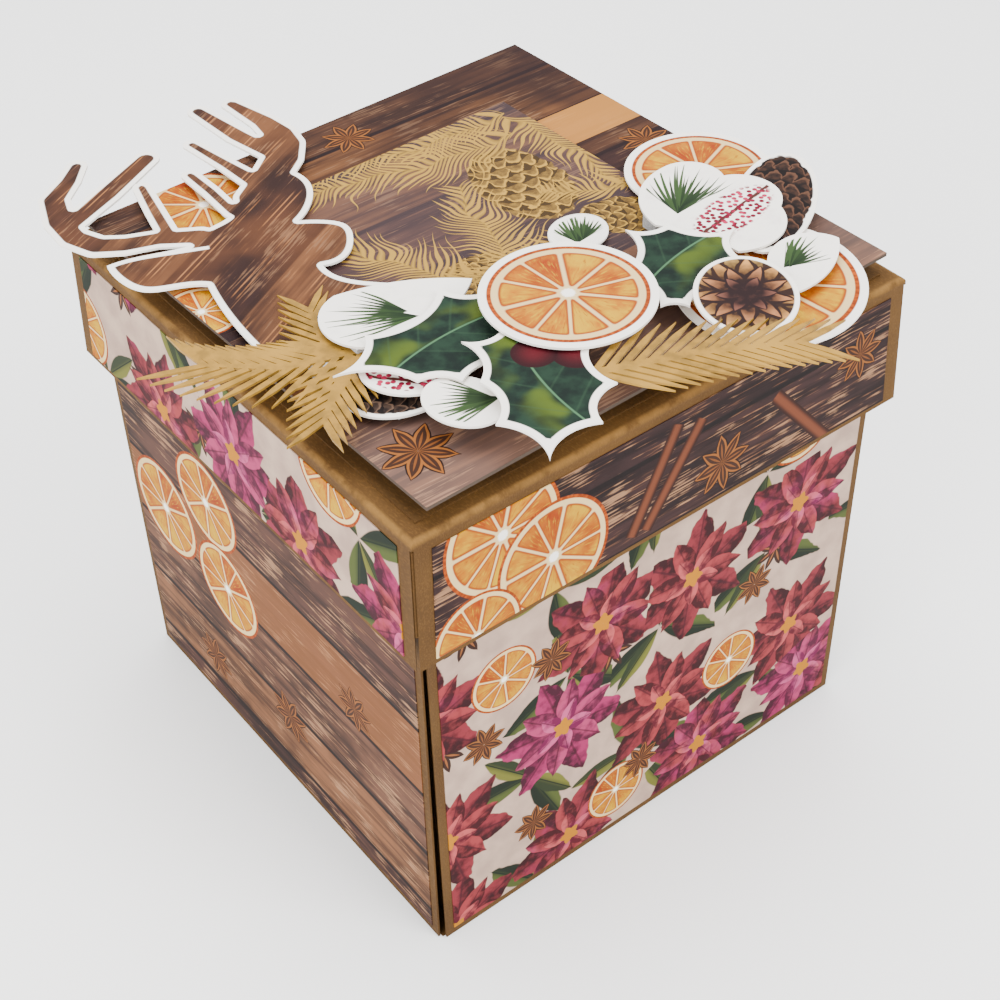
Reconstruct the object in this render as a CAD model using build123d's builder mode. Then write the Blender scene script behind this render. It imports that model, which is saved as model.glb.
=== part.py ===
import os
from math import cos, radians, sin

from build123d import *

os.makedirs("parts", exist_ok=True)

# Sheet stock
card = 0.45
paper = 0.2
glue = 0.03

# The box: three nested layers, each a floor with four walls folded up from it
box_width = 119.6
wall_height = 121.0
layer_step = 5.0
layer_drop = 5.0
fold_gap = 0.1
corner_gap = 0.15
side_taper = 0.5
print_margin = 2.0

# The lid: a square top with four flaring skirts and glue tabs behind its open corners
lid_play = 2.2
lid_flare = 1.1
skirt_height = 30.8
fold_radius = 1.2
lid_corner = 0.6
seam_width = 0.7
seam_stop = 0.5
tab_length = 11.0
tab_rise = 8.5
tab_drop = 1.0
skirt_print_side = 4.2
skirt_print_top = 3.2
skirt_print_bottom = 1.2
overrun = 2.0

# The stack of panels on the lid
mat_margin = 3.75
mat_card = 0.45
panel_margin = 3.5
panel_shift = 0.8
panel_turn = 1.2
panel_card = 0.8
panel_foam = 3.6
panel_pad_share = 0.12
panel_pad_pitch_share = 0.36
centre_share = 0.66
centre_card = 0.45

# Die-cut decorations, raised on foam squares or glued flat on each other; the steps say how far up the
# stack each one lies
die_card = 0.5
first_foam = 1.5
step_foam = 1.0
die_step = die_card + step_foam
flat_step = die_card / die_step
steps_up = {
    "deer_head": 1,
    "back_orange_slice": 1,
    "middle_pine_spray": 1,
    "left_fir_cone": 1,
    "right_orange_slice": 1.5,
    "left_fir_sprig": 2,
    "left_berry_spray": 2.6,
    "tall_fir_cone": 2.9,
    "left_pine_spray": 3,
    "front_pine_spray": 3.3,
    "right_berry_spray": 3.4,
    "left_holly_leaf": 4,
    "right_holly_leaf": 4,
    "round_fir_cone": 5.8 - 2 * flat_step,
    "front_fir_sprig": 5.8 - flat_step,
    "front_holly_leaf": 5.8,
    "centre_orange_slice": 6.5,
}

sides = {"front": -90, "right": 0, "back": 90, "left": 180}
layers = ("outer", "middle", "inner")

lid_width = box_width + 2 * lid_play
mat_width = lid_width - 2 * mat_margin
panel_width = lid_width - 2 * panel_margin
centre_width = centre_share * panel_width
lid_top = wall_height + card
skirt_low = lid_top - skirt_height
mat_top = lid_top + mat_card
panel_low = mat_top + panel_foam
panel_top = panel_low + panel_card
centre_top = panel_top + centre_card


def save(piece, name):
    """Names a finished piece and writes its file."""
    piece.part.label = name
    export_step(piece.part, f"parts/{name}.step")


def facing(angle, reach):
    """An upright plane that looks outwards at the given angle, reach away from the middle."""
    outward = Vector(cos(radians(angle)), sin(radians(angle)), 0)
    along = Vector(-sin(radians(angle)), cos(radians(angle)), 0)
    return Plane(origin=outward * reach, x_dir=along, z_dir=outward)


def upright_sheet(plane, low, high, low_width, high_width, thickness):
    """A sheet on an upright plane, narrower or wider at its top, with its thickness behind the plane."""
    with BuildPart() as sheet:
        with BuildSketch(plane):
            with BuildLine():
                Polyline(
                    (-low_width / 2, low),
                    (low_width / 2, low),
                    (high_width / 2, high),
                    (-high_width / 2, high),
                    close=True,
                )
            make_face()
        extrude(amount=-thickness)
    return sheet


def level_sheet(width, low, thickness):
    """A square sheet lying flat on the middle of the box."""
    with BuildPart() as sheet:
        with BuildSketch(Plane.XY.offset(low)):
            Rectangle(width, width)
        extrude(amount=thickness)
    return sheet


# The floors and walls. The outer walls stand beside their floor and carry paper on both faces, so that
# they fold down flat on the table; those of the inner layers stand on their floors and fold onto them.
for number, layer in enumerate(layers):
    reach = box_width / 2 - number * layer_step
    floor_low = (card + glue) * min(number, 1) + (card + paper + glue) * max(number - 1, 0)
    floor_top = floor_low + card
    outside_paper = paper if number == 0 else 0
    wall_stack = outside_paper + card + paper
    wall_low = fold_gap + (0 if number == 0 else floor_top)
    wall_high = wall_height - number * layer_drop
    inside = reach - wall_stack
    floor_width = 2 * (inside - fold_gap if number == 0 else reach)

    save(level_sheet(floor_width, floor_low, card), f"{layer}_floor")
    if number > 0:
        lining_width = 2 * (inside - print_margin)
        save(level_sheet(lining_width, floor_top, paper), f"{layer}_floor_lining")

    high_width = 2 * (inside - corner_gap)
    low_width = high_width - 2 * side_taper
    print_low = wall_low + print_margin
    print_high = wall_high - print_margin
    low_print = low_width - 2 * print_margin
    high_print = high_width - 2 * print_margin
    for side, angle in sides.items():
        wall = upright_sheet(
            facing(angle, reach - outside_paper),
            wall_low,
            wall_high,
            low_width,
            high_width,
            card,
        )
        save(wall, f"{side}_{layer}_wall")
        if number == 0:
            outside = upright_sheet(
                facing(angle, reach), print_low, print_high, low_print, high_print, paper
            )
            save(outside, f"{side}_wall_paper")
        lining = upright_sheet(
            facing(angle, reach - outside_paper - card),
            print_low,
            print_high,
            low_print,
            high_print,
            paper,
        )
        save(lining, f"{side}_{layer}_wall_lining")


def lid_span(height):
    """The lid's outside width at a height: its skirts flare towards their lower edge."""
    return lid_width + 2 * lid_flare * (lid_top - height) / skirt_height


def lid_block(inset, low, high):
    """A block with the lid's flaring sides, set in by inset."""
    with BuildPart() as block:
        for height in (low, high):
            with BuildSketch(Plane.XY.offset(height)):
                Rectangle(lid_span(height) - 2 * inset, lid_span(height) - 2 * inset)
        loft(ruled=True)
    return block


# The lid is one sheet: its top folds softly into four skirts, which meet in open seams at the corners
# and are held there by glue tabs turned in behind them.
with BuildPart() as lid_form:
    add(lid_block(0, skirt_low, lid_top).part)
    fillet(lid_form.faces().sort_by(Axis.Z)[-1].edges(), radius=fold_radius)

with BuildPart() as lid_hollow:
    add(lid_block(card, skirt_low - overrun, lid_top - card).part)
    chamfer(lid_hollow.faces().sort_by(Axis.Z)[-1].edges(), length=fold_radius - card)

with BuildPart() as lid_tabs:
    tab_low = skirt_low + tab_rise
    tab_high = lid_top - fold_radius - tab_drop
    add(lid_block(card / 2, tab_low, tab_high).part)
    add(lid_block(2 * card, tab_low - overrun, tab_high + overrun).part, mode=Mode.SUBTRACT)
    with BuildSketch(Plane.XY.offset(tab_low - overrun)):
        Rectangle(lid_width - 2 * tab_length, 2 * lid_width)
        Rectangle(2 * lid_width, lid_width - 2 * tab_length)
    extrude(amount=tab_high - tab_low + 2 * overrun, mode=Mode.SUBTRACT)

with BuildPart() as lid_tray:
    add(lid_form.part)
    add(lid_hollow.part, mode=Mode.SUBTRACT)
    with BuildSketch(Plane.XY.offset(skirt_low - overrun)):
        for turn in (45, -45):
            Rectangle(2 * lid_width, seam_width, rotation=turn)
        Rectangle(lid_width - tab_length, lid_width - tab_length, mode=Mode.SUBTRACT)
    extrude(amount=skirt_height + overrun - fold_radius - seam_stop, mode=Mode.SUBTRACT)
    add(lid_tabs.part)
save(lid_tray, "lid")

# Each skirt carries a sheet of printed paper that leaves a border of bare card.
lean = Vector(lid_flare, skirt_height).normalized()
for side, angle in sides.items():
    upright = facing(angle, lid_width / 2)
    tilted = Plane(
        origin=upright.origin + Vector(0, 0, lid_top),
        x_dir=upright.x_dir,
        z_dir=upright.z_dir * lean.Y + Vector(0, 0, lean.X),
    )
    slope_length = skirt_height / lean.Y
    skirt_paper = upright_sheet(
        tilted,
        skirt_print_bottom - slope_length,
        -skirt_print_top,
        lid_width - 2 * skirt_print_side + 2 * lid_flare,
        lid_width - 2 * skirt_print_side,
        -paper,
    )
    save(skirt_paper, f"{side}_skirt_paper")

# A card mat, a thick printed panel raised over it on foam, and a smaller panel glued to its middle
save(level_sheet(mat_width, lid_top, mat_card), "lid_mat")
panel_middle = (0, -panel_shift)

with BuildPart() as top_panel:
    with BuildSketch(Plane.XY.offset(panel_low)):
        with Locations(panel_middle):
            Rectangle(panel_width, panel_width, rotation=panel_turn)
    extrude(amount=panel_card)
save(top_panel, "top_panel")

with BuildPart() as centre_panel:
    with BuildSketch(Plane.XY.offset(panel_top)):
        with Locations(panel_middle):
            Rectangle(centre_width, centre_width, rotation=panel_turn)
    extrude(amount=centre_card)
save(centre_panel, "centre_panel")


def level(steps):
    """The underside of a die-cut so many steps up the stack on the panel."""
    return panel_top + first_foam + (steps - 1) * die_step


def spot(x_share, y_share):
    """A place on the panel, given in shares of its width from the middle of the box."""
    return (x_share * panel_width, y_share * panel_width)


def spots(shares):
    """Several places on the panel."""
    return [spot(*pair) for pair in shares]


def tapered_strokes(strokes):
    """Adds strokes to a sketch: runs of (x, y, half width) shares of the panel, rounded at both ends."""
    for stroke in strokes:
        for start, end in zip(stroke, stroke[1:]):
            rounds = []
            for x_share, y_share, half_share in (start, end):
                middle = Plane(Vector(*spot(x_share, y_share)))
                rounds.append(Edge.make_circle(half_share * panel_width, middle))
            make_hull(rounds)


# The deer head: a profile with one ear, and two antlers whose beams and tines are tapered strokes
head_shares = (
    ((-0.487, -0.103), (-0.483, -0.009), (-0.47, 0.086), (-0.454, 0.153)),
    ((-0.454, 0.153), (-0.494, 0.18), (-0.544, 0.208), (-0.562, 0.259), (-0.558, 0.314)),
    ((-0.558, 0.314), (-0.498, 0.302), (-0.443, 0.282), (-0.404, 0.273)),
    ((-0.404, 0.273), (-0.368, 0.3), (-0.325, 0.306), (-0.27, 0.345), (-0.199, 0.385)),
    ((-0.199, 0.385), (-0.146, 0.369), (-0.139, 0.322), (-0.168, 0.263), (-0.226, 0.219)),
    ((-0.226, 0.219), (-0.191, 0.192), (-0.169, 0.157), (-0.185, 0.109), (-0.231, 0.072), (-0.27, 0.077)),
    ((-0.27, 0.077), (-0.269, 0.035), (-0.246, -0.005), (-0.199, -0.056), (-0.176, -0.103)),
    ((-0.176, -0.103), (-0.487, -0.103)),
)
antler_shares = (
    ((-0.388, 0.29, 0.03), (-0.447, 0.33, 0.028), (-0.502, 0.352, 0.03), (-0.541, 0.38, 0.031)),
    ((-0.541, 0.38, 0.031), (-0.56, 0.428, 0.03), (-0.556, 0.49, 0.03), (-0.53, 0.562, 0.029)),
    ((-0.53, 0.562, 0.029), (-0.48, 0.601, 0.024), (-0.443, 0.639, 0.02)),
    ((-0.541, 0.471, 0.026), (-0.447, 0.517, 0.029), (-0.331, 0.578, 0.026)),
    ((-0.427, 0.326, 0.02), (-0.407, 0.412, 0.019), (-0.386, 0.496, 0.017)),
    ((-0.301, 0.318, 0.018), (-0.296, 0.404, 0.018), (-0.296, 0.475, 0.017)),
    ((-0.246, 0.337, 0.037), (-0.183, 0.377, 0.041), (-0.135, 0.415, 0.042), (-0.104, 0.455, 0.041)),
    ((-0.215, 0.369, 0.026), (-0.225, 0.463, 0.02), (-0.238, 0.567, 0.017)),
    ((-0.136, 0.432, 0.026), (-0.154, 0.538, 0.027), (-0.165, 0.666, 0.021)),
    ((-0.104, 0.455, 0.041), (-0.09, 0.495, 0.036), (-0.088, 0.55, 0.029), (-0.1, 0.648, 0.02)),
)
with BuildPart() as deer_head:
    with BuildSketch(Plane.XY.offset(level(steps_up["deer_head"]))):
        with BuildLine():
            for run in head_shares:
                if len(run) == 2:
                    Line(*spots(run))
                else:
                    Spline(*spots(run))
        make_face()
        tapered_strokes(antler_shares)
    extrude(amount=die_card)
save(deer_head, "deer_head")


# Gold fir sprigs that hang over the lid's edges: each branch is a bent stem with needles on both sides
needle_share = 0.0108
needle_pitch_share = 0.0235
needle_belly_share = 0.6
needle_turn = 42
needle_fall = 10
tip_shrink_share = 0.25
stem_share = 0.016


def fir_branch(stem_shares, reach_share):
    """Adds a fir branch to a sketch: its needles get shorter and lie closer to the stem towards its tip."""
    stem = ThreePointArc(*spots(stem_shares), mode=Mode.PRIVATE)
    gaps = round(stem.length / (needle_pitch_share * panel_width))
    for number in range(gaps + 1):
        share = number / gaps
        root = stem @ share
        reach = reach_share * panel_width * (1 - tip_shrink_share * share)
        turn = needle_turn - needle_fall * share
        for along in ((stem % share).rotate(Axis.Z, turn), (stem % share).rotate(Axis.Z, -turn)):
            across = Vector(-along.Y, along.X) * needle_share * panel_width / 2
            belly = root + along * reach * needle_belly_share
            with BuildLine() as needle:
                Polyline(
                    root - across,
                    belly - across,
                    root + along * reach,
                    belly + across,
                    root + across,
                    close=True,
                )
            make_face(needle.edges())
    stem_half = stem_share * panel_width / 2
    thick = Edge.make_circle(stem_half, Plane(stem @ 0))
    middle = Edge.make_circle(stem_half, Plane(stem @ 0.5))
    thin = Edge.make_circle(stem_half / 2, Plane(stem @ 1))
    make_hull([thick, middle])
    make_hull([middle, thin])


sprigs = {
    "left_fir_sprig": (
        (((-0.36, -0.175), (-0.485, -0.135), (-0.58, -0.05)), 0.145),
        (((-0.41, -0.16), (-0.388, -0.09), (-0.37, -0.035)), 0.1),
        (((-0.39, -0.185), (-0.455, -0.235), (-0.51, -0.285)), 0.11),
    ),
    "front_fir_sprig": (
        (((-0.155, -0.5), (-0.005, -0.56), (0.14, -0.645)), 0.13),
    ),
}
for name, branches in sprigs.items():
    with BuildPart() as sprig:
        with BuildSketch(Plane.XY.offset(level(steps_up[name]))):
            for stem_shares, reach_share in branches:
                fir_branch(stem_shares, reach_share)
        extrude(amount=die_card)
    save(sprig, name)

# Holly leaves: spikes joined by hollow arcs
holly_shares = {
    "left_holly_leaf": (
        (-0.456, -0.232), (-0.358, -0.178), (-0.188, -0.144), (-0.13, -0.21), (-0.11, -0.31),
        (-0.2, -0.385), (-0.309, -0.37), (-0.362, -0.326),
    ),
    "front_holly_leaf": (
        (-0.267, -0.313), (-0.307, -0.412), (-0.35, -0.506), (-0.339, -0.619), (-0.225, -0.603),
        (-0.147, -0.546), (-0.105, -0.44), (-0.13, -0.35), (-0.2, -0.33),
    ),
    "right_holly_leaf": (
        (0.158, -0.216), (0.227, -0.248), (0.305, -0.333), (0.249, -0.412), (0.167, -0.437),
        (0.092, -0.449), (0.055, -0.419), (0.06, -0.31),
    ),
}
hollow_share = 0.2
for name, spike_shares in holly_shares.items():
    with BuildPart() as leaf:
        with BuildSketch(Plane.XY.offset(level(steps_up[name]))):
            spikes = [Vector(*place) for place in spots(spike_shares)]
            heart = sum(spikes, Vector()) / len(spikes)
            with BuildLine():
                for near, far in zip(spikes, spikes[1:] + spikes[:1]):
                    middle = (near + far) / 2
                    inward = (heart - middle).normalized() * (far - near).length * hollow_share
                    ThreePointArc(near, middle + inward, far)
            make_face()
        extrude(amount=die_card)
    save(leaf, name)

# Round orange slices, oval sprays and oval fir cones
ovals = {
    "centre_orange_slice": ((-0.064, -0.33), 0.291, 0.291, 0),
    "back_orange_slice": ((0.426, -0.115), 0.273, 0.273, 0),
    "middle_pine_spray": ((0.13, -0.125), 0.118, 0.102, 20),
    "left_fir_cone": ((-0.363, -0.278), 0.188, 0.145, -10),
    "left_berry_spray": ((-0.342, -0.273), 0.157, 0.13, -40),
    "tall_fir_cone": ((0.432, -0.299), 0.325, 0.145, 37),
    "front_pine_spray": ((-0.33, -0.4), 0.14, 0.115, -75),
    "round_fir_cone": ((0.169, -0.497), 0.215, 0.17, 53),
}
for name, (middle, length_share, width_share, turn) in ovals.items():
    with BuildPart() as oval:
        with BuildSketch(Plane.XY.offset(level(steps_up[name]))):
            with Locations(spot(*middle)):
                if length_share == width_share:
                    Circle(length_share * panel_width / 2)
                else:
                    Ellipse(length_share * panel_width / 2, width_share * panel_width / 2, rotation=turn)
        extrude(amount=die_card)
    save(oval, name)

# Sprays whose outline follows what is printed on them: arcs end to end, each from a corner through the
# next place to the next corner
spray_shares = {
    "left_pine_spray": (
        (-0.369, -0.187), (-0.392, -0.1), (-0.325, -0.041),
        (-0.215, -0.078), (-0.12, -0.148), (-0.21, -0.197),
    ),
    "right_berry_spray": (
        (0.215, -0.23), (0.27, -0.128), (0.36, -0.1), (0.406, -0.125), (0.413, -0.19),
        (0.46, -0.26), (0.42, -0.325), (0.345, -0.393), (0.268, -0.378), (0.25, -0.3),
    ),
}


def arc_places(place_shares):
    """The places that each arc of a closed outline goes through."""
    places = spots(place_shares)
    corners = places[::2]
    return zip(corners, places[1::2], corners[1:] + corners[:1])


for name, edge_shares in spray_shares.items():
    with BuildPart() as spray:
        with BuildSketch(Plane.XY.offset(level(steps_up[name]))):
            with BuildLine():
                for arc in arc_places(edge_shares):
                    ThreePointArc(*arc)
            make_face()
        extrude(amount=die_card)
    save(spray, name)

# The right orange slice leans back a little on its pads, and a pine spray lies over it at the same lean
lean_share = 0.05
right_slice_share = 0.325
right_middle_shares = (0.27, -0.453)
right_spray_shares = (
    (0.0, -0.065), (0.012, 0.02), (0.078, 0.05), (0.125, 0.034), (0.152, -0.008), (0.1, -0.05),
)
leaning = Plane(
    origin=(*spot(*right_middle_shares), level(steps_up["right_orange_slice"])),
    x_dir=(1, 0, lean_share),
    z_dir=(-lean_share, -lean_share, 1),
)
with BuildPart() as right_slice:
    with BuildSketch(leaning):
        Circle(right_slice_share * panel_width / 2)
    extrude(amount=die_card)
save(right_slice, "right_orange_slice")

with BuildPart() as right_spray:
    with BuildSketch(leaning.offset(die_step + step_foam)):
        with BuildLine():
            for arc in arc_places(right_spray_shares):
                ThreePointArc(*arc)
        make_face()
    extrude(amount=die_card)
save(right_spray, "right_pine_spray")

# Square foam pads hold the panel over its mat, and every die-cut over the surface beneath it
pad_share = 0.034
panel_pads_across = 3
slice_pad_shares = ((0.214, -0.453), (0.333, -0.41))
cone_pad_shares = ((0.205, -0.48),)
spray_pad_shares = ((0.08, -0.02),)


def top_of(name):
    """The upper face of a die-cut."""
    return level(steps_up[name]) + die_card


pads = (
    ((-0.402, 0.154), panel_top, "deer_head"),
    ((-0.419, -0.034), panel_top, "deer_head"),
    ((-0.256, 0.154), centre_top, "deer_head"),
    ((-0.156, 0.381), panel_top, "deer_head"),
    ((0.419, -0.068), panel_top, "back_orange_slice"),
    ((0.462, -0.137), panel_top, "back_orange_slice"),
    ((0.13, -0.125), centre_top, "middle_pine_spray"),
    ((-0.385, -0.265), panel_top, "left_fir_cone"),
    ((-0.385, -0.31), panel_top, "left_fir_cone"),
    ((-0.43, -0.16), panel_top, "left_fir_sprig"),
    ((-0.355, -0.265), top_of("left_fir_cone"), "left_berry_spray"),
    ((-0.315, -0.26), top_of("left_fir_cone"), "left_berry_spray"),
    ((0.462, -0.282), panel_top, "tall_fir_cone"),
    ((0.444, -0.338), panel_top, "tall_fir_cone"),
    ((-0.36, -0.165), top_of("left_fir_sprig"), "left_pine_spray"),
    ((-0.27, -0.145), centre_top, "left_pine_spray"),
    ((-0.305, -0.38), panel_top, "front_pine_spray"),
    ((0.256, -0.188), centre_top, "right_berry_spray"),
    ((0.376, -0.171), top_of("back_orange_slice"), "right_berry_spray"),
    ((-0.235, -0.25), centre_top, "left_holly_leaf"),
    ((-0.188, -0.274), centre_top, "left_holly_leaf"),
    ((0.14, -0.308), centre_top, "right_holly_leaf"),
    ((0.19, -0.27), centre_top, "right_holly_leaf"),
    ((-0.22, -0.45), panel_top, "front_holly_leaf"),
    ((-0.16, -0.43), panel_top, "front_holly_leaf"),
    ((-0.043, -0.265), centre_top, "centre_orange_slice"),
    ((-0.15, -0.265), top_of("left_holly_leaf"), "centre_orange_slice"),
    ((-0.145, -0.395), top_of("front_holly_leaf"), "centre_orange_slice"),
)


def foam_squares(places):
    """Adds the outlines of square foam pads to a sketch."""
    with Locations(*places):
        Rectangle(pad_share * panel_width, pad_share * panel_width)


with BuildPart() as level_pads:
    with BuildSketch(Plane.XY.offset(mat_top)):
        pitch = panel_pad_pitch_share * panel_width
        with GridLocations(pitch, pitch, panel_pads_across, panel_pads_across):
            Rectangle(panel_pad_share * panel_width, panel_pad_share * panel_width)
    extrude(amount=panel_foam)
    for place_shares, base, name in pads:
        with BuildSketch(Plane.XY.offset(base)):
            foam_squares([spot(*place_shares)])
        extrude(amount=level(steps_up[name]) - base)

with BuildPart() as slice_pads:
    with BuildSketch(Plane.XY.offset(panel_top)):
        foam_squares(spots(slice_pad_shares))
    extrude(amount=level(steps_up["round_fir_cone"]) - panel_top)
    split(bisect_by=leaning, keep=Keep.BOTTOM)

with BuildPart() as cone_pads:
    with BuildSketch(Plane.XY.offset(panel_top)):
        foam_squares(spots(cone_pad_shares))
    extrude(amount=level(steps_up["round_fir_cone"]) - panel_top)
    split(bisect_by=leaning.offset(die_card), keep=Keep.TOP)

with BuildPart() as spray_pads:
    with BuildSketch(leaning.offset(die_card)):
        foam_squares(spots(spray_pad_shares))
    extrude(amount=2 * step_foam)

with BuildPart() as foam_pads:
    for group in (level_pads, slice_pads, cone_pads, spray_pads):
        add(group.part)
save(foam_pads, "foam_pads")
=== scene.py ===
import math

import bmesh
import bpy
from mathutils import Matrix, Vector
from mathutils.bvhtree import BVHTree


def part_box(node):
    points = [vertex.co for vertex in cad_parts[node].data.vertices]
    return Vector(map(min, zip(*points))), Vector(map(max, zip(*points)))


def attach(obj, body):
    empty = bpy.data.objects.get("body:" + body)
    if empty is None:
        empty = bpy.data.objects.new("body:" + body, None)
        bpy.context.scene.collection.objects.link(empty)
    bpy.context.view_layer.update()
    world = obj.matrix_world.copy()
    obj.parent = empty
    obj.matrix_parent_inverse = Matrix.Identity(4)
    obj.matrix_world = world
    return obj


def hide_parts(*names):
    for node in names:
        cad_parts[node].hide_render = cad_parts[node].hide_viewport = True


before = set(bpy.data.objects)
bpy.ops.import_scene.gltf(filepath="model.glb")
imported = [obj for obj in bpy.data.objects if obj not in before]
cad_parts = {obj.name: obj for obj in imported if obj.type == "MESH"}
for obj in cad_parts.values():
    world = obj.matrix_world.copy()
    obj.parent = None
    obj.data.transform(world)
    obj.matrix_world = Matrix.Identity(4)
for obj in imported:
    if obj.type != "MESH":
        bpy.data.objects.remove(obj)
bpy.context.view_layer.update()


# The floors and walls of the three nested layers, which carry everything else.
# Uncoated brown kraft card of about 300 g, cut and scored from one sheet for each layer and folded up.
def ink(red, green, blue):
    """Mixes the paint that looks like a chart's colour in this bright studio, which lifts darks and pales colours."""
    chart = [((value / 255 + 0.055) / 1.055) ** 2.4 for value in (red, green, blue)]
    grey = sum(chart) / 3
    strong = [min(max(grey + (value - grey) * (0.9 + 1.16 * grey), 0.0005), 0.8) for value in chart]
    return tuple(0.29 * value + 0.38 * value ** 2.4 for value in strong) + (1,)


def place(tree, kind, inputs=(), **settings):
    """Puts a node in a tree, sets it up, and feeds its inputs with numbers, colours or other outputs."""
    node = tree.nodes.new(kind)
    for name, value in settings.items():
        setattr(node, name, value)
    for name, value in dict(inputs).items():
        if isinstance(value, bpy.types.NodeSocket):
            tree.links.new(value, node.inputs[name])
        else:
            node.inputs[name].default_value = value
    return node


def calc(tree, operation, *values):
    """One step of arithmetic in a tree."""
    return place(tree, "ShaderNodeMath", enumerate(values), operation=operation).outputs[0]


def times(tree, one, other):
    """Multiplies two values."""
    return calc(tree, "MULTIPLY", one, other)


def blend(tree, share, under, over):
    """Lays one colour over another by a share."""
    inputs = {0: share, 6: under, 7: over}
    return place(tree, "ShaderNodeMix", inputs, data_type="RGBA", blend_type="MIX").outputs[2]


def rise(tree, value, low, high):
    """A mask that goes smoothly from 0 at low to 1 at high."""
    inputs = {"Value": value, "From Min": low, "From Max": high}
    return place(tree, "ShaderNodeMapRange", inputs, interpolation_type="SMOOTHSTEP").outputs[0]


def noise(tree, vector, scale, detail=4):
    """Soft random tone over a print."""
    inputs = {"Vector": vector, "Scale": scale, "Detail": detail}
    return place(tree, "ShaderNodeTexNoise", inputs).outputs[0]


def new_group(name, inputs, outputs):
    """An empty node group with its sockets, and the nodes that they come in and go out by."""
    group = bpy.data.node_groups.new(name, "ShaderNodeTree")
    for label, kind in inputs:
        group.interface.new_socket(label, in_out="INPUT", socket_type=kind)
    for label, kind in outputs:
        group.interface.new_socket(label, in_out="OUTPUT", socket_type=kind)
    return group, group.nodes.new("NodeGroupInput").outputs, group.nodes.new("NodeGroupOutput").inputs


def use_group(tree, group, **inputs):
    """Puts a finished group into a tree and gives back what comes out of it."""
    return place(tree, "ShaderNodeGroup", inputs, node_tree=group).outputs


def new_material(name, roughness=0.7, specular=0.12):
    """A material, plain printed paper unless told otherwise, and the object's own coordinates."""
    material = bpy.data.materials.new(name)
    material.use_nodes = True
    tree = material.node_tree
    shader = tree.nodes["Principled BSDF"].inputs
    shader["Roughness"].default_value = roughness
    shader["Specular IOR Level"].default_value = specular
    return material, tree, shader, tree.nodes.new("ShaderNodeTexCoord").outputs["Object"]


def finish(tree, shader, colour, height, depth=0.00001):
    """Gives a shader its colour, and a surface relief that is depth metres high; a print's is hardly there."""
    tree.links.new(colour, shader["Base Color"])
    relief = place(tree, "ShaderNodeBump", {"Height": height, "Distance": depth})
    tree.links.new(relief.outputs[0], shader["Normal"])


def cover(material, *names):
    """Gives CAD nodes a material."""
    for name in names:
        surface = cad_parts[name].data
        surface.materials.clear()
        surface.materials.append(material)


FLOAT, COLOUR, VECTOR = "NodeSocketFloat", "NodeSocketColor", "NodeSocketVector"
card_roughness = 0.75
card_relief = 0.00003

card_fibre, given, out = new_group(
    "card_fibre", [("Vector", VECTOR), ("Colour", COLOUR)], [("Colour", COLOUR), ("Height", FLOAT)]
)
tree = card_fibre
strands = place(tree, "ShaderNodeMapping", {"Vector": given["Vector"], "Scale": (1, 0.35, 0.6)}).outputs[0]
fine = noise(tree, strands, 3400, 6)
cloud = noise(tree, given["Vector"], 55)
speck = place(tree, "ShaderNodeTexVoronoi", {"Vector": given["Vector"], "Scale": 700}).outputs["Distance"]
pale = blend(tree, 0.5, given["Colour"], ink(200, 166, 120))
dark = blend(tree, 0.42, given["Colour"], ink(84, 54, 28))
body = blend(tree, rise(tree, cloud, 0.3, 0.72), dark, given["Colour"])
fibred = blend(tree, times(tree, rise(tree, fine, 0.42, 0.8), 0.28), body, pale)
flecked = blend(tree, times(tree, rise(tree, speck, 0.2, 0.06), 0.22), fibred, dark)
tree.links.new(flecked, out["Colour"])
tree.links.new(fine, out["Height"])

kraft, tree, shader, coordinates = new_material("kraft_card", card_roughness)
fibre = use_group(tree, card_fibre, Vector=coordinates, Colour=ink(130, 98, 56))
finish(tree, shader, fibre["Colour"], fibre["Height"], card_relief)
cover(kraft, *[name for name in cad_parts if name.endswith(("_floor", "_wall"))])


# The papers on the left and right walls: boards of old wood, with orange slices and star anise on them.
# Smooth printed paper of about 190 g. Each sheet is trimmed a little smaller than its wall and glued flat on it.
def axes_of(tree, vector):
    """Takes a vector apart into its X, Y and Z."""
    return place(tree, "ShaderNodeSeparateXYZ", {0: vector}).outputs


def length_of(tree, vector):
    """How far a point is from the middle."""
    return place(tree, "ShaderNodeVectorMath", {0: vector}, operation="LENGTH").outputs["Value"]


def vector_calc(tree, operation, *values):
    """One step of arithmetic with vectors."""
    return place(tree, "ShaderNodeVectorMath", enumerate(values), operation=operation).outputs[0]


def minus(tree, one, other):
    """Takes one value from another."""
    return calc(tree, "SUBTRACT", one, other)


def unsigned(tree, value):
    """A value without its sign."""
    return calc(tree, "ABSOLUTE", value)


def between(tree, value, low, high):
    """A mask that is 1 where a value lies between two others."""
    return times(tree, calc(tree, "GREATER_THAN", value, low), calc(tree, "LESS_THAN", value, high))


def off_middle(tree, steps):
    """How far a count of steps is from the middle of its present step, from 0 to a half."""
    return unsigned(tree, minus(tree, calc(tree, "FRACT", steps), 0.5))


def random_of(tree, number):
    """A random value that is always the same for the same number."""
    return place(tree, "ShaderNodeTexWhiteNoise", {"W": number}, noise_dimensions="1D").outputs["Value"]


def ramp(tree, value, *stops):
    """A colour that goes with a value through stops, each a place and a chart's colour."""
    node = place(tree, "ShaderNodeValToRGB", {0: value})
    elements = node.color_ramp.elements
    elements[0].position, elements[-1].position = stops[0][0], stops[-1][0]
    for position, shade in stops[1:-1]:
        elements.new(position)
    for element, (position, shade) in zip(elements, stops):
        element.color = ink(*shade)
    return node.outputs[0]


def laid_flat(tree, coordinates, along, across):
    """Turns two of an object's axes into the X and Y of a print."""
    axes = axes_of(tree, coordinates)
    return place(tree, "ShaderNodeCombineXYZ", {0: axes[along], 1: axes[across]}).outputs[0]


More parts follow.
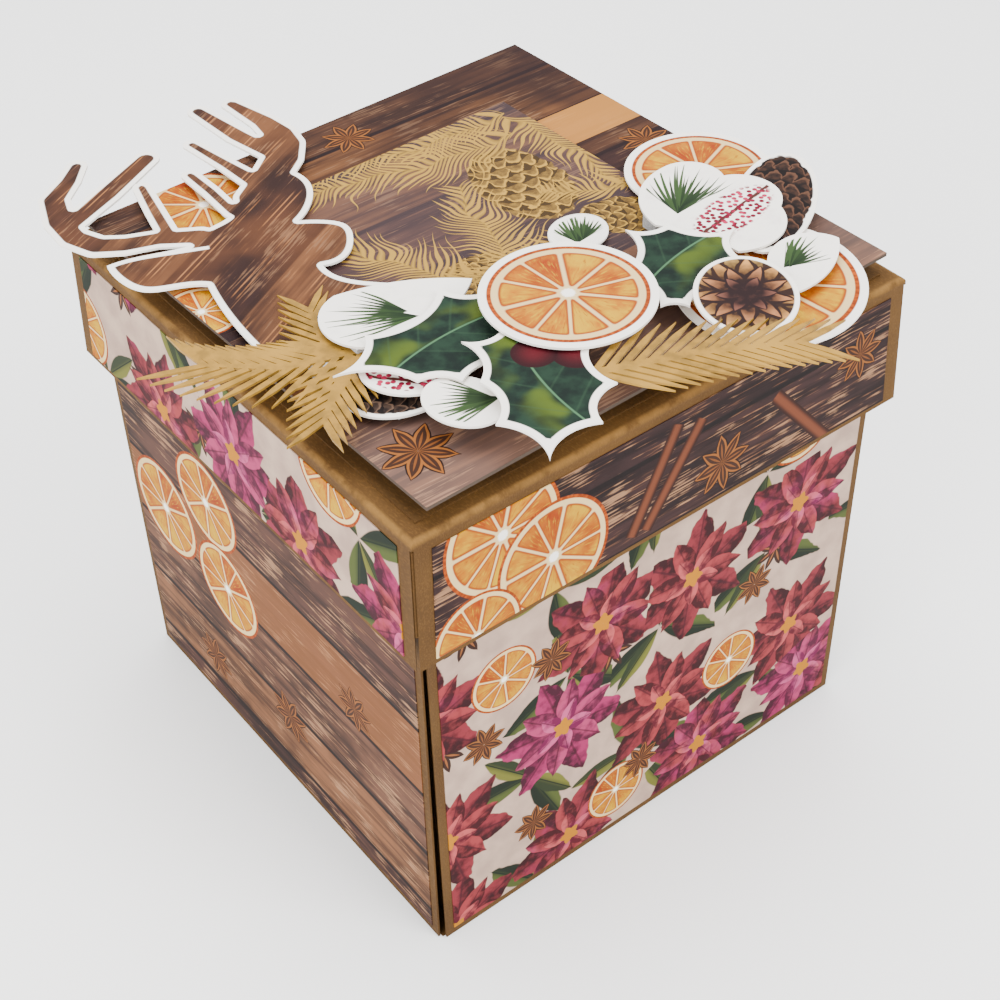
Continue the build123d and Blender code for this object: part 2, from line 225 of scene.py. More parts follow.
board_width = 0.0195
bare_white = (0.86, 0.82, 0.76, 1)

planks, given, out = new_group(
    "printed_planks", [("Vector", VECTOR), ("Seed", FLOAT)], [("Colour", COLOUR), ("Height", FLOAT)]
)
tree = planks
axes = axes_of(tree, given["Vector"])
rows = calc(tree, "ADD", calc(tree, "DIVIDE", axes[1], board_width), given["Seed"])
row = calc(tree, "FLOOR", rows)
inside = calc(tree, "FRACT", rows)
stretched = {0: times(tree, axes[0], 22), 1: times(tree, axes[1], 420), 2: times(tree, row, 3.7)}
grain_at = place(tree, "ShaderNodeCombineXYZ", stretched).outputs[0]
grain = noise(tree, grain_at, 1, 5)
hair = noise(tree, grain_at, 5, 2)
board = ramp(tree, random_of(tree, calc(tree, "ADD", row, given["Seed"])), (0.0, (62, 40, 42)),
             (0.3, (86, 56, 54)), (0.55, (112, 76, 66)), (0.78, (148, 110, 88)), (1.0, (190, 148, 108)))
in_grain = blend(tree, 0.7, board, ink(34, 20, 22))
picture = blend(tree, rise(tree, grain, 0.38, 0.6), in_grain, board)
stain = rise(tree, noise(tree, given["Vector"], 42), 0.54, 0.36)
picture = blend(tree, times(tree, stain, 0.55), picture, ink(40, 26, 26))
streak = rise(tree, hair, 0.55, 0.75)
picture = blend(tree, times(tree, streak, 0.4), picture, ink(196, 158, 128))
wear = rise(tree, times(tree, noise(tree, given["Vector"], 95, 5), hair), 0.29, 0.37)
picture = blend(tree, times(tree, wear, 0.6), picture, ink(206, 180, 156))
gap = rise(tree, calc(tree, "MINIMUM", inside, minus(tree, 1, inside)), 0.045, 0.02)
tree.links.new(blend(tree, gap, picture, ink(36, 22, 22)), out["Colour"])
tree.links.new(minus(tree, grain, gap), out["Height"])

membrane, pith_from, heart_to, peel_from = 0.012, 0.86, 0.12, 0.93

orange_slice, given, out = new_group(
    "orange_slice", [("Vector", VECTOR), ("Radius", FLOAT), ("Segments", FLOAT)],
    [("Colour", COLOUR), ("Inside", FLOAT), ("Height", FLOAT)],
)
tree = orange_slice
axes = axes_of(tree, given["Vector"])
reach = calc(tree, "DIVIDE", length_of(tree, given["Vector"]), given["Radius"])
around = calc(tree, "ARCTAN2", axes[1], axes[0])
uneven = times(tree, calc(tree, "SINE", times(tree, around, 3)), 0.12)
turns = times(tree, calc(tree, "DIVIDE", around, 2 * math.pi), given["Segments"])
turns = calc(tree, "ADD", turns, uneven)
segment_angle = calc(tree, "DIVIDE", 2 * math.pi, given["Segments"])
from_side = times(tree, times(tree, minus(tree, 0.5, off_middle(tree, turns)), reach), segment_angle)
rounded = calc(tree, "SMOOTH_MIN", minus(tree, from_side, membrane), minus(tree, pith_from, reach), 0.07)
rounded = calc(tree, "SMOOTH_MIN", rounded, minus(tree, reach, heart_to), 0.06)
cells_at = place(tree, "ShaderNodeCombineXYZ", {0: times(tree, turns, 7), 1: times(tree, reach, 3.2)}).outputs[0]
cells = noise(tree, cells_at, 1.7, 5)
wash = times(tree, noise(tree, given["Vector"], 170, 3), 0.85)
tone = calc(tree, "MULTIPLY_ADD", random_of(tree, calc(tree, "FLOOR", turns)), 0.3, wash)
pulp = ramp(tree, tone, (0.36, (224, 188, 14)), (0.56, (204, 146, 0)), (0.76, (184, 88, 0)))
pulp = blend(tree, times(tree, rise(tree, cells, 0.52, 0.7), 0.6), pulp, ink(236, 198, 60))
pulp = blend(tree, times(tree, rise(tree, cells, 0.44, 0.28), 0.6), pulp, ink(178, 82, 0))
pulp = blend(tree, rise(tree, rounded, 0.06, 0.024), pulp, ink(188, 106, 0))
fruit = blend(tree, rise(tree, rounded, 0.0, 0.022), (0.6, 0.43, 0.2, 1), pulp)
peel = blend(tree, rise(tree, cells, 0.35, 0.7), ink(166, 78, 0), ink(204, 122, 4))
fruit = blend(tree, rise(tree, reach, peel_from, peel_from + 0.015), fruit, peel)
heart = rise(tree, calc(tree, "MULTIPLY_ADD", cells, 0.08, reach), 0.14, 0.11)
tree.links.new(blend(tree, heart, fruit, bare_white), out["Colour"])
tree.links.new(rise(tree, reach, 1.0, 0.985), out["Inside"])
tree.links.new(cells, out["Height"])

petals, given, out = new_group(
    "petal_ring",
    [("Vector", VECTOR), ("Reach", FLOAT), ("Count", FLOAT), ("Width", FLOAT), ("Turn", FLOAT)],
    [("Inside", FLOAT), ("Along", FLOAT), ("Aside", FLOAT)],
)
tree = petals
axes = axes_of(tree, given["Vector"])
wavy = calc(tree, "MULTIPLY_ADD", noise(tree, given["Vector"], 210, 2), 0.3, 0.85)
along = times(tree, calc(tree, "DIVIDE", length_of(tree, given["Vector"]), given["Reach"]), wavy)
around = calc(tree, "DIVIDE", calc(tree, "ARCTAN2", axes[1], axes[0]), 2 * math.pi)
turns = calc(tree, "MULTIPLY_ADD", around, given["Count"], given["Turn"])
offset = times(tree, minus(tree, calc(tree, "FRACT", turns), 0.5), 2 * math.pi)
aside = times(tree, calc(tree, "DIVIDE", offset, given["Count"]), along)
belly = calc(tree, "SINE", times(tree, calc(tree, "MINIMUM", along, 1), math.pi))
inner_edge = minus(tree, times(tree, given["Width"], belly), unsigned(tree, aside))
tree.links.new(rise(tree, inner_edge, 0.0, 0.02), out["Inside"])
tree.links.new(along, out["Along"])
tree.links.new(calc(tree, "DIVIDE", aside, given["Width"]), out["Aside"])


def turned(tree, vector, angle):
    """Turns a print's coordinates about its middle."""
    inputs = {"Vector": vector, "Angle": angle}
    return place(tree, "ShaderNodeVectorRotate", inputs, rotation_type="Z_AXIS").outputs[0]


def motif_at(tree, vector, spot, turn=0.0):
    """Coordinates centred on a motif and turned with it."""
    moved = vector_calc(tree, "SUBTRACT", vector, (*spot, 0))
    return turned(tree, vector_calc(tree, "MULTIPLY", moved, (1, 1, 0)), turn)


def lay_slice(tree, picture, vector, spot, radius, segments=9):
    """Prints one orange slice over what is there."""
    fruit = use_group(tree, orange_slice, Vector=motif_at(tree, vector, spot), Radius=radius, Segments=segments)
    return blend(tree, fruit["Inside"], picture, fruit["Colour"])


# A star of anise from its outline inwards: each layer's share of the reach, how broad its pods are, and its ink.
star_layers = (
    (1.0, 0.24, (44, 26, 20)), (0.97, 0.2, (176, 124, 74)), (0.91, 0.14, (86, 52, 34)), (0.74, 0.05, (158, 104, 60)),
)


def lay_star(tree, picture, vector, spot, reach, turn=0.0):
    """Prints one star of anise: eight pointed pods, each with a pale rim and a seed in it."""
    at = motif_at(tree, vector, spot, turn)
    for share, width, shade in star_layers:
        pods = use_group(tree, petals, Vector=at, Reach=reach * share, Count=8, Width=width, Turn=0)
        picture = blend(tree, pods["Inside"], picture, ink(*shade))
    return picture


def pale_board(tree, picture, upright, band, share, shade):
    """Lightens the boards of a print between two heights."""
    return blend(tree, times(tree, between(tree, upright, *band), share), picture, ink(*shade))


# On each wall the slices, then the stars, all as a spot and a radius.
wall_motifs = {
    "left": ((((0.043, 0.055), 0.0135), ((0.0215, 0.0715), 0.0125), ((0.0175, 0.048), 0.0125)),
             (((-0.004, 0.024), 0.0075), ((-0.033, 0.052), 0.0065), ((0.03, 0.016), 0.007))),
    "right": ((((0.03, 0.09), 0.012), ((-0.035, 0.03), 0.0105)),
              (((0.0, 0.06), 0.007), ((0.036, 0.02), 0.0065))),
}
wall_band = (0.0475, 0.066)
for number, (side, (slices, stars)) in enumerate(wall_motifs.items()):
    plank_paper, tree, shader, coordinates = new_material(f"{side}_plank_paper")
    vector = laid_flat(tree, coordinates, 1, 2)
    boards = use_group(tree, planks, Vector=vector, Seed=7.59 + 5 * number)
    picture = pale_board(tree, boards["Colour"], axes_of(tree, vector)[1], wall_band, 0.45, (190, 142, 98))
    for spot, radius in slices:
        picture = lay_slice(tree, picture, vector, spot, radius)
    for spot, reach in stars:
        picture = lay_star(tree, picture, vector, spot, reach, 7 * spot[0])
    finish(tree, shader, picture, boards["Height"])
    cover(plank_paper, f"{side}_wall_paper")


# The papers on the front and back walls: poinsettias, orange slices and star anise on an off-white ground.
# The same smooth printed paper; the flowers are scattered over it, each with its leaves under it.
def scattered(tree, vector, pitch, spread, offset=0.0):
    """Cells with one motif each: coordinates from the motif's middle, and three random values of its own."""
    moved = vector_calc(tree, "ADD", vector, (offset, offset, 0))
    inputs = {"Vector": moved, "Scale": 1 / pitch, "Randomness": spread}
    cell = place(tree, "ShaderNodeTexVoronoi", inputs, voronoi_dimensions="2D").outputs
    chance = place(tree, "ShaderNodeSeparateColor", {0: cell["Color"]}).outputs
    local = vector_calc(tree, "SUBTRACT", moved, cell["Position"])
    return turned(tree, local, times(tree, chance[0], 6)), chance


flower_pitch, flower_spread, flower_reach = 0.031, 0.55, 0.0185
loose_slice_radius = 0.0105
# A flower's leaves: how many, reach, breadth, and the inks of the shaded and the lit half.
leaf_rings = ((3, 0.0205, 0.16, (34, 50, 30), (110, 122, 62)), (2, 0.0175, 0.15, (62, 76, 42), (146, 146, 78)))
# Its petals: share of the reach, how many, breadth, turn, and shaded and lit inks of a red and a violet flower.
petal_rings = (
    (1.0, 6, 0.24, 0.0, ((74, 8, 22), (96, 20, 56)), ((168, 74, 84), (190, 88, 138))),
    (0.78, 6, 0.22, 0.5, ((90, 14, 28), (120, 30, 74)), ((184, 94, 98), (200, 112, 152))),
    (0.44, 5, 0.26, 0.2, ((124, 28, 50), (148, 42, 102)), ((206, 132, 132), (212, 142, 176))),
)

flowers, given, out = new_group(
    "printed_flowers", [("Vector", VECTOR), ("Seed", FLOAT)], [("Colour", COLOUR), ("Height", FLOAT)]
)
tree = flowers
shift = place(tree, "ShaderNodeCombineXYZ", {0: given["Seed"], 1: given["Seed"]}).outputs[0]
vector = vector_calc(tree, "ADD", given["Vector"], shift)
paint = noise(tree, vector, 140, 5)
picture = blend(tree, rise(tree, paint, 0.3, 0.7), ink(204, 189, 180), ink(221, 208, 198))
leaf_at, chance = scattered(tree, vector, flower_pitch, flower_spread, 0.009)
for count, reach, width, dark_green, light_green in leaf_rings:
    leaf = use_group(tree, petals, Vector=leaf_at, Reach=reach, Count=count, Width=width, Turn=0.2)
    green = blend(tree, rise(tree, leaf["Aside"], -0.3, 0.5), ink(*dark_green), ink(*light_green))
    green = blend(tree, rise(tree, unsigned(tree, leaf["Aside"]), 0.08, 0.03), green, ink(30, 50, 30))
    picture = blend(tree, leaf["Inside"], picture, green)
star_at, chance = scattered(tree, vector, 0.027, 0.7, 0.003)
star_shown = calc(tree, "GREATER_THAN", chance[1], 0.45)
for reach, width, shade in ((0.0062, 0.17, (78, 46, 34)), (0.005, 0.06, (176, 124, 82))):
    pod = use_group(tree, petals, Vector=star_at, Reach=reach, Count=8, Width=width, Turn=0)
    picture = blend(tree, times(tree, pod["Inside"], star_shown), picture, ink(*shade))
flower_at, chance = scattered(tree, vector, flower_pitch, flower_spread)
in_bloom = calc(tree, "GREATER_THAN", chance[2], 0.2)
fruit = use_group(tree, orange_slice, Vector=flower_at, Radius=loose_slice_radius, Segments=9)
fruit_shown = times(tree, fruit["Inside"], minus(tree, 1, in_bloom))
picture = blend(tree, fruit_shown, picture, fruit["Colour"])
strokes = minus(tree, noise(tree, vector, 420), 0.5)
violet = rise(tree, calc(tree, "MULTIPLY_ADD", paint, 1.1, chance[1]), 1.0, 1.35)
violet = times(tree, violet, 0.85)
for share, count, width, turn, dark_shades, light_shades in petal_rings:
    petal = use_group(tree, petals, Vector=flower_at, Reach=flower_reach * share, Count=count, Width=width, Turn=turn)
    deep, bright = [blend(tree, violet, ink(*red), ink(*purple)) for red, purple in (dark_shades, light_shades)]
    lit = calc(tree, "MULTIPLY_ADD", strokes, 2.6, rise(tree, petal["Aside"], -0.6, 0.7))
    shade = blend(tree, lit, deep, bright)
    vein = rise(tree, unsigned(tree, petal["Aside"]), 0.1, 0.02)
    shade = blend(tree, times(tree, vein, 0.65), shade, ink(84, 16, 40))
    shade = blend(tree, rise(tree, petal["Along"], 0.35, 0.05), shade, ink(84, 16, 38))
    picture = blend(tree, times(tree, petal["Inside"], in_bloom), picture, shade)
heart = use_group(tree, petals, Vector=flower_at, Reach=flower_reach * 0.16, Count=5, Width=0.4, Turn=0)
picture = blend(tree, times(tree, heart["Inside"], in_bloom), picture, ink(206, 160, 40))
tree.links.new(picture, out["Colour"])
tree.links.new(paint, out["Height"])

front_slices = ((-0.041, 0.071), (0.0225, 0.0335), (-0.0105, 0.0135))
front_stars = ((-0.0465, 0.0555), (0.0285, 0.0535), (-0.0035, 0.0185), (-0.029, 0.0685), (-0.034, 0.0205))
front_slice_radius, front_star_reach = 0.0082, 0.0056
for side, seed, slices, stars in (("front", 0.0, front_slices, front_stars), ("back", 0.31, (), ())):
    flower_paper, tree, shader, coordinates = new_material(f"{side}_flower_paper")
    vector = laid_flat(tree, coordinates, 0, 2)
    pattern = use_group(tree, flowers, Vector=vector, Seed=seed)
    picture = pattern["Colour"]
    for spot in slices:
        picture = lay_slice(tree, picture, vector, spot, front_slice_radius)
    for spot in stars:
        picture = lay_star(tree, picture, vector, spot, front_star_reach, 30 * spot[0])
    finish(tree, shader, picture, pattern["Height"])
    cover(flower_paper, f"{side}_wall_paper")

# The linings inside the walls and on the floors: plain cream paper with a fine scatter of gold stars.
# They are glued on before the card is folded up, and show only when the box is opened.
gold_star_pitch, gold_star_reach = 0.012, 0.0026
for places, along, across in (({"floor"}, 0, 1), ({"front", "back"}, 0, 2), ({"left", "right"}, 1, 2)):
    lined, tree, shader, coordinates = new_material("cream_lining_" + "xyz"[along] + "xyz"[across])
    plain = use_group(tree, card_fibre, Vector=coordinates, Colour=ink(236, 226, 206))
    star_at, chance = scattered(tree, laid_flat(tree, coordinates, along, across), gold_star_pitch, 0.4)
    rays = use_group(tree, petals, Vector=star_at, Reach=gold_star_reach, Count=6, Width=0.14, Turn=0)
    finish(tree, shader, blend(tree, rays["Inside"], plain["Colour"], ink(198, 164, 96)), plain["Height"])
    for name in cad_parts:
        if name.endswith("_lining") and places & set(name.split("_")):
            cover(lined, name)

# The lid: the same kraft card, folded softly into a tray with open seams at its corners.
# Its top folds are painted paler, partly as rubbed card and partly as a painted highlight along the fold, and a
# square mat of the card is glued to its top.
lid_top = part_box("lid")[1][2]
lid_card, tree, shader, coordinates = new_material("lid_card", card_roughness)
fibre = use_group(tree, card_fibre, Vector=coordinates, Colour=ink(136, 103, 58))
axes = axes_of(tree, coordinates)
outward = calc(tree, "MAXIMUM", unsigned(tree, axes[0]), unsigned(tree, axes[1]))
at_top = rise(tree, axes[2], lid_top - 0.0016, lid_top - 0.0003)
on_fold = times(tree, rise(tree, outward, 0.0605, 0.0615), at_top)
# Painted highlight together with rubbed wear: paler card in patches along the top folds.
fold_highlight_and_rub = times(tree, on_fold, rise(tree, noise(tree, coordinates, 260), 0.3, 0.6))
picture = blend(tree, times(tree, fold_highlight_and_rub, 0.26), fibre["Colour"], ink(212, 184, 138))
finish(tree, shader, picture, fibre["Height"], card_relief)
cover(lid_card, "lid")
cover(kraft, "lid_mat")

# The papers on the lid's skirts: boards with orange slices and spices on the front and back, and
# flowers on the left and right. They stop short of the folds and leave a border of bare card.
skirt_slices = (((-0.0425, 0.1125), 0.0135), ((-0.031, 0.1005), 0.0135), ((-0.0495, 0.0915), 0.0105))
skirt_stars = (((0.012, 0.1), 0.0075), ((0.05, 0.108), 0.0065))
cinnamon_sticks = (((-0.006, 0.105), 0.5), ((-0.001, 0.104), 0.62), ((0.034, 0.1), -0.7))
half_stick = (0.0018, 0.0125)
for number, side in enumerate(("front", "back")):
    skirt_planks, tree, shader, coordinates = new_material(f"{side}_skirt_planks")
    vector = laid_flat(tree, coordinates, 0, 2)
    boards = use_group(tree, planks, Vector=vector, Seed=8.3 + 4 * number)
    picture = boards["Colour"]
    for spot, radius in skirt_slices:
        picture = lay_slice(tree, picture, vector, spot, radius, 10)
    for spot, turn in cinnamon_sticks:
        across, along = [unsigned(tree, axis) for axis in axes_of(tree, motif_at(tree, vector, spot, turn))[:2]]
        there = times(tree, rise(tree, across, half_stick[0], half_stick[0] - 0.0002),
                     rise(tree, along, half_stick[1], half_stick[1] - 0.0003))
        bark = blend(tree, rise(tree, across, 0.0015, 0.0003), ink(70, 36, 26), ink(150, 92, 64))
        picture = blend(tree, there, picture, bark)
    for spot, reach in skirt_stars:
        picture = lay_star(tree, picture, vector, spot, reach, 0.3)
    finish(tree, shader, picture, boards["Height"])
    cover(skirt_planks, f"{side}_skirt_paper")
for side, seed in (("left", 0.13), ("right", 0.47)):
    skirt_flowers, tree, shader, coordinates = new_material(f"{side}_skirt_flowers")
    pattern = use_group(tree, flowers, Vector=laid_flat(tree, coordinates, 1, 2), Seed=seed)
    finish(tree, shader, pattern["Colour"], pattern["Height"])
    cover(skirt_flowers, f"{side}_skirt_paper")


# The big panel on the lid: thick grey board under paper printed with boards, raised on foam squares.
# Orange slices and spices are printed along its edges, where the smaller panel leaves them bare.
def on_face(tree):
    """A mask of a sheet's printed upper face, which leaves out its cut edges and its back."""
    normal = place(tree, "ShaderNodeNewGeometry").outputs["True Normal"]
    return rise(tree, axes_of(tree, normal)[2], 0.5, 0.8)


panel_band = (0.0145, 0.0275)
panel_slices = (((-0.037, 0.0465), 0.0125), ((-0.0575, 0.0135), 0.0085))
panel_stars = (((-0.0495, -0.0475), 0.008), ((0.002, 0.049), 0.0065), ((0.052, 0.006), 0.0065))
panel_planks, tree, shader, coordinates = new_material("panel_planks")
boards = use_group(tree, planks, Vector=coordinates, Seed=1.6)
down_panel = axes_of(tree, coordinates)[1]
beyond_front = rise(tree, down_panel, -0.05, -0.028)
dusk = rise(tree, noise(tree, coordinates, 26, 2), 0.62, 0.4)
dusk = times(tree, calc(tree, "MULTIPLY_ADD", dusk, 0.3, 0.55), beyond_front)
picture = blend(tree, dusk, boards["Colour"], ink(56, 30, 34))
picture = blend(tree, calc(tree, "MULTIPLY_ADD", beyond_front, -0.5, 0.5), picture, ink(160, 138, 130))
picture = pale_board(tree, picture, down_panel, panel_band, 0.65, (216, 178, 126))
for spot, radius in panel_slices:
    picture = lay_slice(tree, picture, coordinates, spot, radius, 10)
for spot, reach in panel_stars:
    picture = lay_star(tree, picture, coordinates, spot, reach, 0.4)
# The cut edges show the grey board, darkened past its own grey as painted shade along the raised panel's side.
finish(tree, shader, blend(tree, on_face(tree), ink(118, 102, 90), picture), boards["Height"])
cover(panel_planks, "top_panel")


# The smaller panel glued to the big one: dusky boards under branches of gold fir with gold cones.
# The gold is a flat metallic ink, a little shinier than the paper round it.
def shaken(tree, vector, scale, detail, reach):
    """Moves a print's coordinates about softly, so that its lines come out uneven."""
    inputs = {"Vector": vector, "Scale": scale, "Detail": detail}
    shift = vector_calc(tree, "SUBTRACT", place(tree, "ShaderNodeTexNoise", inputs).outputs[1], (0.5, 0.5, 0.5))
    return vector_calc(tree, "MULTIPLY_ADD", shift, (reach, reach, 0), vector)


fir_print, given, out = new_group(
    "fir_branch",
    [("Vector", VECTOR), ("Length", FLOAT), ("Reach", FLOAT), ("Slant", FLOAT), ("Pitch", FLOAT)],
    [("Inside", FLOAT), ("Tone", FLOAT)],
)
tree = fir_print
axes = axes_of(tree, shaken(tree, given["Vector"], 75, 1, 0.011))
off = unsigned(tree, axes[1])
droop = times(tree, times(tree, off, off), 14)
root = minus(tree, axes[0], times(tree, calc(tree, "ADD", off, droop), given["Slant"]))
side = times(tree, calc(tree, "SIGN", axes[1]), 41.3)
index = calc(tree, "ADD", calc(tree, "DIVIDE", root, given["Pitch"]), side)
chance = random_of(tree, calc(tree, "FLOOR", index))
share = calc(tree, "DIVIDE", root, given["Length"])
reach = times(tree, given["Reach"], minus(tree, 1.05, times(tree, share, 0.6)))
reach = times(tree, reach, calc(tree, "MULTIPLY_ADD", chance, 0.5, 0.6))
taper = calc(tree, "DIVIDE", off, reach)
middle = off_middle(tree, index)
slim = minus(tree, 0.4, times(tree, calc(tree, "POWER", taper, 2), 0.4))
inside = rise(tree, minus(tree, slim, middle), -0.02, 0.08)
inside = times(tree, inside, rise(tree, taper, 1.0, 0.97))
inside = times(tree, inside, between(tree, share, 0, 1))
stem = times(tree, rise(tree, off, 0.0005, 0.0003), between(tree, axes[0], 0, given["Length"]))
tree.links.new(calc(tree, "MAXIMUM", inside, stem), out["Inside"])
ridge = calc(tree, "MULTIPLY_ADD", chance, 0.5, 0.9)
tree.links.new(calc(tree, "MULTIPLY_ADD", middle, -1.6, ridge), out["Tone"])

cone_print, given, out = new_group(
    "fir_cone_scales",
    [("Vector", VECTOR), ("Length", FLOAT), ("Width", FLOAT), ("Dark", COLOUR), ("Light", COLOUR)],
    [("Colour", COLOUR), ("Inside", FLOAT), ("Height", FLOAT)],
)
tree = cone_print
paint = noise(tree, given["Vector"], 620)
axes = axes_of(tree, shaken(tree, given["Vector"], 330, 2, 0.0028))
along = calc(tree, "DIVIDE", axes[0], given["Length"])
across = calc(tree, "DIVIDE", axes[1], given["Width"])
squares = [calc(tree, "POWER", times(tree, part, 2), 2) for part in (along, across)]
from_middle = calc(tree, "SQRT", calc(tree, "ADD", *squares))
bowed = calc(tree, "ADD", times(tree, along, 9), times(tree, times(tree, across, across), 5))
stagger = times(tree, calc(tree, "PINGPONG", calc(tree, "FLOOR", bowed), 1), 0.5)
scale_across = minus(tree, calc(tree, "FRACT", calc(tree, "MULTIPLY_ADD", across, 5, stagger)), 0.5)
lip = calc(tree, "MULTIPLY_ADD", times(tree, scale_across, scale_across), -2.6, 0.95)
lip = minus(tree, lip, calc(tree, "FRACT", bowed))
lip = calc(tree, "MULTIPLY_ADD", minus(tree, paint, 0.5), 0.35, lip)
edge = times(tree, rise(tree, lip, 0.0, 0.06), rise(tree, lip, 0.34, 0.12))
scales = blend(tree, 0.35, given["Dark"], given["Light"])
scales = blend(tree, rise(tree, paint, 0.35, 0.7), given["Dark"], scales)
scales = blend(tree, edge, scales, given["Light"])
shadow = blend(tree, 0.6, given["Dark"], ink(20, 12, 12))
scales = blend(tree, rise(tree, lip, 0.0, -0.05), scales, shadow)
tree.links.new(scales, out["Colour"])
tree.links.new(rise(tree, from_middle, 1.0, 0.96), out["Inside"])
tree.links.new(edge, out["Height"])

# Each gold cone's spot, turn and length, and each gold branch's spot, turn, length and needle reach.
gold_cones = (((0.0195, 0.009), 1.7, 0.031), ((0.0285, -0.0145), 0.5, 0.021), ((-0.009, -0.012), -0.3, 0.019))
gold_branches = (
    ((0.03, 0.0255), 2.99, 0.05, 0.0135), ((0.0345, 0.033), -1.52, 0.04, 0.0085),
    ((0.0, -0.0155), 1.35, 0.032, 0.0125), ((-0.011, -0.0135), 2.0, 0.032, 0.0115),
    ((0.018, -0.0175), 2.95, 0.038, 0.0085), ((0.034, 0.0335), 3.05, 0.052, 0.0085),
    ((0.036, -0.006), 2.6, 0.02, 0.008),
)
gold_panel, tree, shader, coordinates = new_material("gold_fir_panel", roughness=0.62, specular=0.14)
boards = use_group(tree, planks, Vector=coordinates, Seed=6.2)
picture = blend(tree, 0.68, boards["Colour"], ink(98, 76, 80))
metal = 0.0
for spot, turn, length in gold_cones:
    cone = use_group(tree, cone_print, Vector=motif_at(tree, coordinates, spot, turn), Length=length,
                     Width=length * 0.66, Dark=ink(140, 112, 68), Light=ink(212, 188, 130))
    picture = blend(tree, cone["Inside"], picture, cone["Colour"])
    metal = calc(tree, "MAXIMUM", metal, cone["Inside"])
for spot, turn, length, reach in gold_branches:
    branch = use_group(tree, fir_print, Vector=motif_at(tree, coordinates, spot, -turn), Length=length,
                       Reach=reach, Slant=0.85, Pitch=0.0017)
    gold = blend(tree, branch["Tone"], ink(120, 96, 56), ink(206, 182, 124))
    picture = blend(tree, branch["Inside"], picture, gold)
    metal = calc(tree, "MAXIMUM", metal, branch["Inside"])
finish(tree, shader, picture, calc(tree, "ADD", metal, boards["Height"]))
tree.links.new(times(tree, metal, 0.35), shader["Metallic"])
cover(gold_panel, "centre_panel")

# The foam squares: white closed-cell foam with adhesive on both faces, about 1.5 mm thick and stacked.
# They lift the big panel off its mat, and each cut-out off what lies under it.
foam, tree, shader, coordinates = new_material("foam_squares", roughness=0.85, specular=0.1)
cells = place(tree, "ShaderNodeTexVoronoi", {"Vector": coordinates, "Scale": 4200}).outputs["Distance"]
white = blend(tree, rise(tree, cells, 0.1, 0.6), ink(206, 204, 198), ink(240, 239, 235))
finish(tree, shader, white, cells, depth=0.00006)
cover(foam, "foam_pads")


# The deer head: boards printed slantwise over one card, antlers and all, which a die cuts outside the picture.
# It hangs over the lid's back left corner. Cards with a white border, like this one, are their CAD sheets with
# fine cuts over them, so that every point carries its distance to the edge.
def bordered(node, material, step=0.0007):
    """A finer copy of a sheet that replaces it and carries its distance to the edge as 'rim'."""
    shape = bmesh.new()
    shape.from_mesh(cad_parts[node].data)
    bmesh.ops.remove_doubles(shape, verts=shape.verts, dist=0.000001)
    bmesh.ops.dissolve_limit(shape, angle_limit=math.radians(0.5), verts=shape.verts, edges=shape.edges)
    facing = max(shape.faces, key=lambda face: face.calc_area()).normal.copy()
    shape.verts.index_update()
    cut_edge = BVHTree.FromPolygons(
        [corner.co.copy() for corner in shape.verts],
        [[corner.index for corner in face.verts] for face in shape.faces if abs(face.normal.dot(facing)) < 0.5],
    )
    for axis in (0, 1):
        places = [corner.co[axis] for corner in shape.verts]
        across = Vector((axis == 0, axis == 1, 0))
        for number in range(1, int((max(places) - min(places)) / step) + 1):
            bmesh.ops.bisect_plane(shape, geom=shape.verts[:] + shape.edges[:] + shape.faces[:],
                                   plane_co=across * (min(places) + number * step), plane_no=across)
    rim = shape.verts.layers.float.new("rim")
    for corner in shape.verts:
        corner[rim] = cut_edge.find_nearest(corner.co)[3]
    surface = bpy.data.meshes.new(f"{node}_card")
    shape.to_mesh(surface)
    shape.free()
    surface.materials.append(material)
    piece = bpy.data.objects.new(f"{node}_card", surface)
    bpy.context.scene.collection.objects.link(piece)
    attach(piece, "lid")
    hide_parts(node)


def with_border(tree, picture, width):
    """Leaves the card white for the border's width inside its edge."""
    rim = place(tree, "ShaderNodeAttribute", attribute_name="rim").outputs["Fac"]
    printed = times(tree, rise(tree, rim, width - 0.0001, width + 0.0002), on_face(tree))
    return blend(tree, printed, bare_white, picture)


deer_border, groove_pitch = 0.0012, 0.0065
deer_boards, tree, shader, coordinates = new_material("deer_boards")
slanted = motif_at(tree, coordinates, (-0.045, 0.018), -0.5)
boards = use_group(tree, planks, Vector=slanted, Seed=21.4)
warm = blend(tree, rise(tree, noise(tree, coordinates, 45, 3), 0.38, 0.66), ink(78, 46, 38), ink(142, 96, 66))
picture = blend(tree, 0.62, boards["Colour"], warm)
beside = off_middle(tree, calc(tree, "DIVIDE", axes_of(tree, slanted)[1], groove_pitch))
grooves = rise(tree, unsigned(tree, minus(tree, beside, 0.09)), 0.035, 0.015)
faded = times(tree, grooves, rise(tree, noise(tree, coordinates, 85, 3), 0.42, 0.62))
picture = blend(tree, times(tree, faded, 0.6), picture, ink(204, 164, 128))
slit = axes_of(tree, motif_at(tree, coordinates, (-0.0535, 0.0325), 0.42))
slit_line = times(tree, rise(tree, unsigned(tree, slit[1]), 0.0007, 0.0004),
                 rise(tree, unsigned(tree, slit[0]), 0.0085, 0.008))
picture = with_border(tree, picture, deer_border)
finish(tree, shader, blend(tree, slit_line, picture, bare_white), boards["Height"])
bordered("deer_head", deer_boards, step=0.0008)

# The gold fir sprigs: flat gold card, cut by die into needles on both sides of a bent stem.
# They have no border; fine streaks run through the gold.
gold_fir, tree, shader, coordinates = new_material("gold_fir_card", roughness=0.5, specular=0.2)
shader["Metallic"].default_value = 0.25
streaks = noise(tree, coordinates, 420, 5)
gold = blend(tree, rise(tree, streaks, 0.35, 0.66), ink(176, 148, 86), ink(198, 170, 108))
gold = blend(tree, rise(tree, noise(tree, coordinates, 70, 2), 0.4, 0.75), gold, ink(206, 180, 120))
finish(tree, shader, gold, streaks)
cover(gold_fir, "left_fir_sprig", "front_fir_sprig")

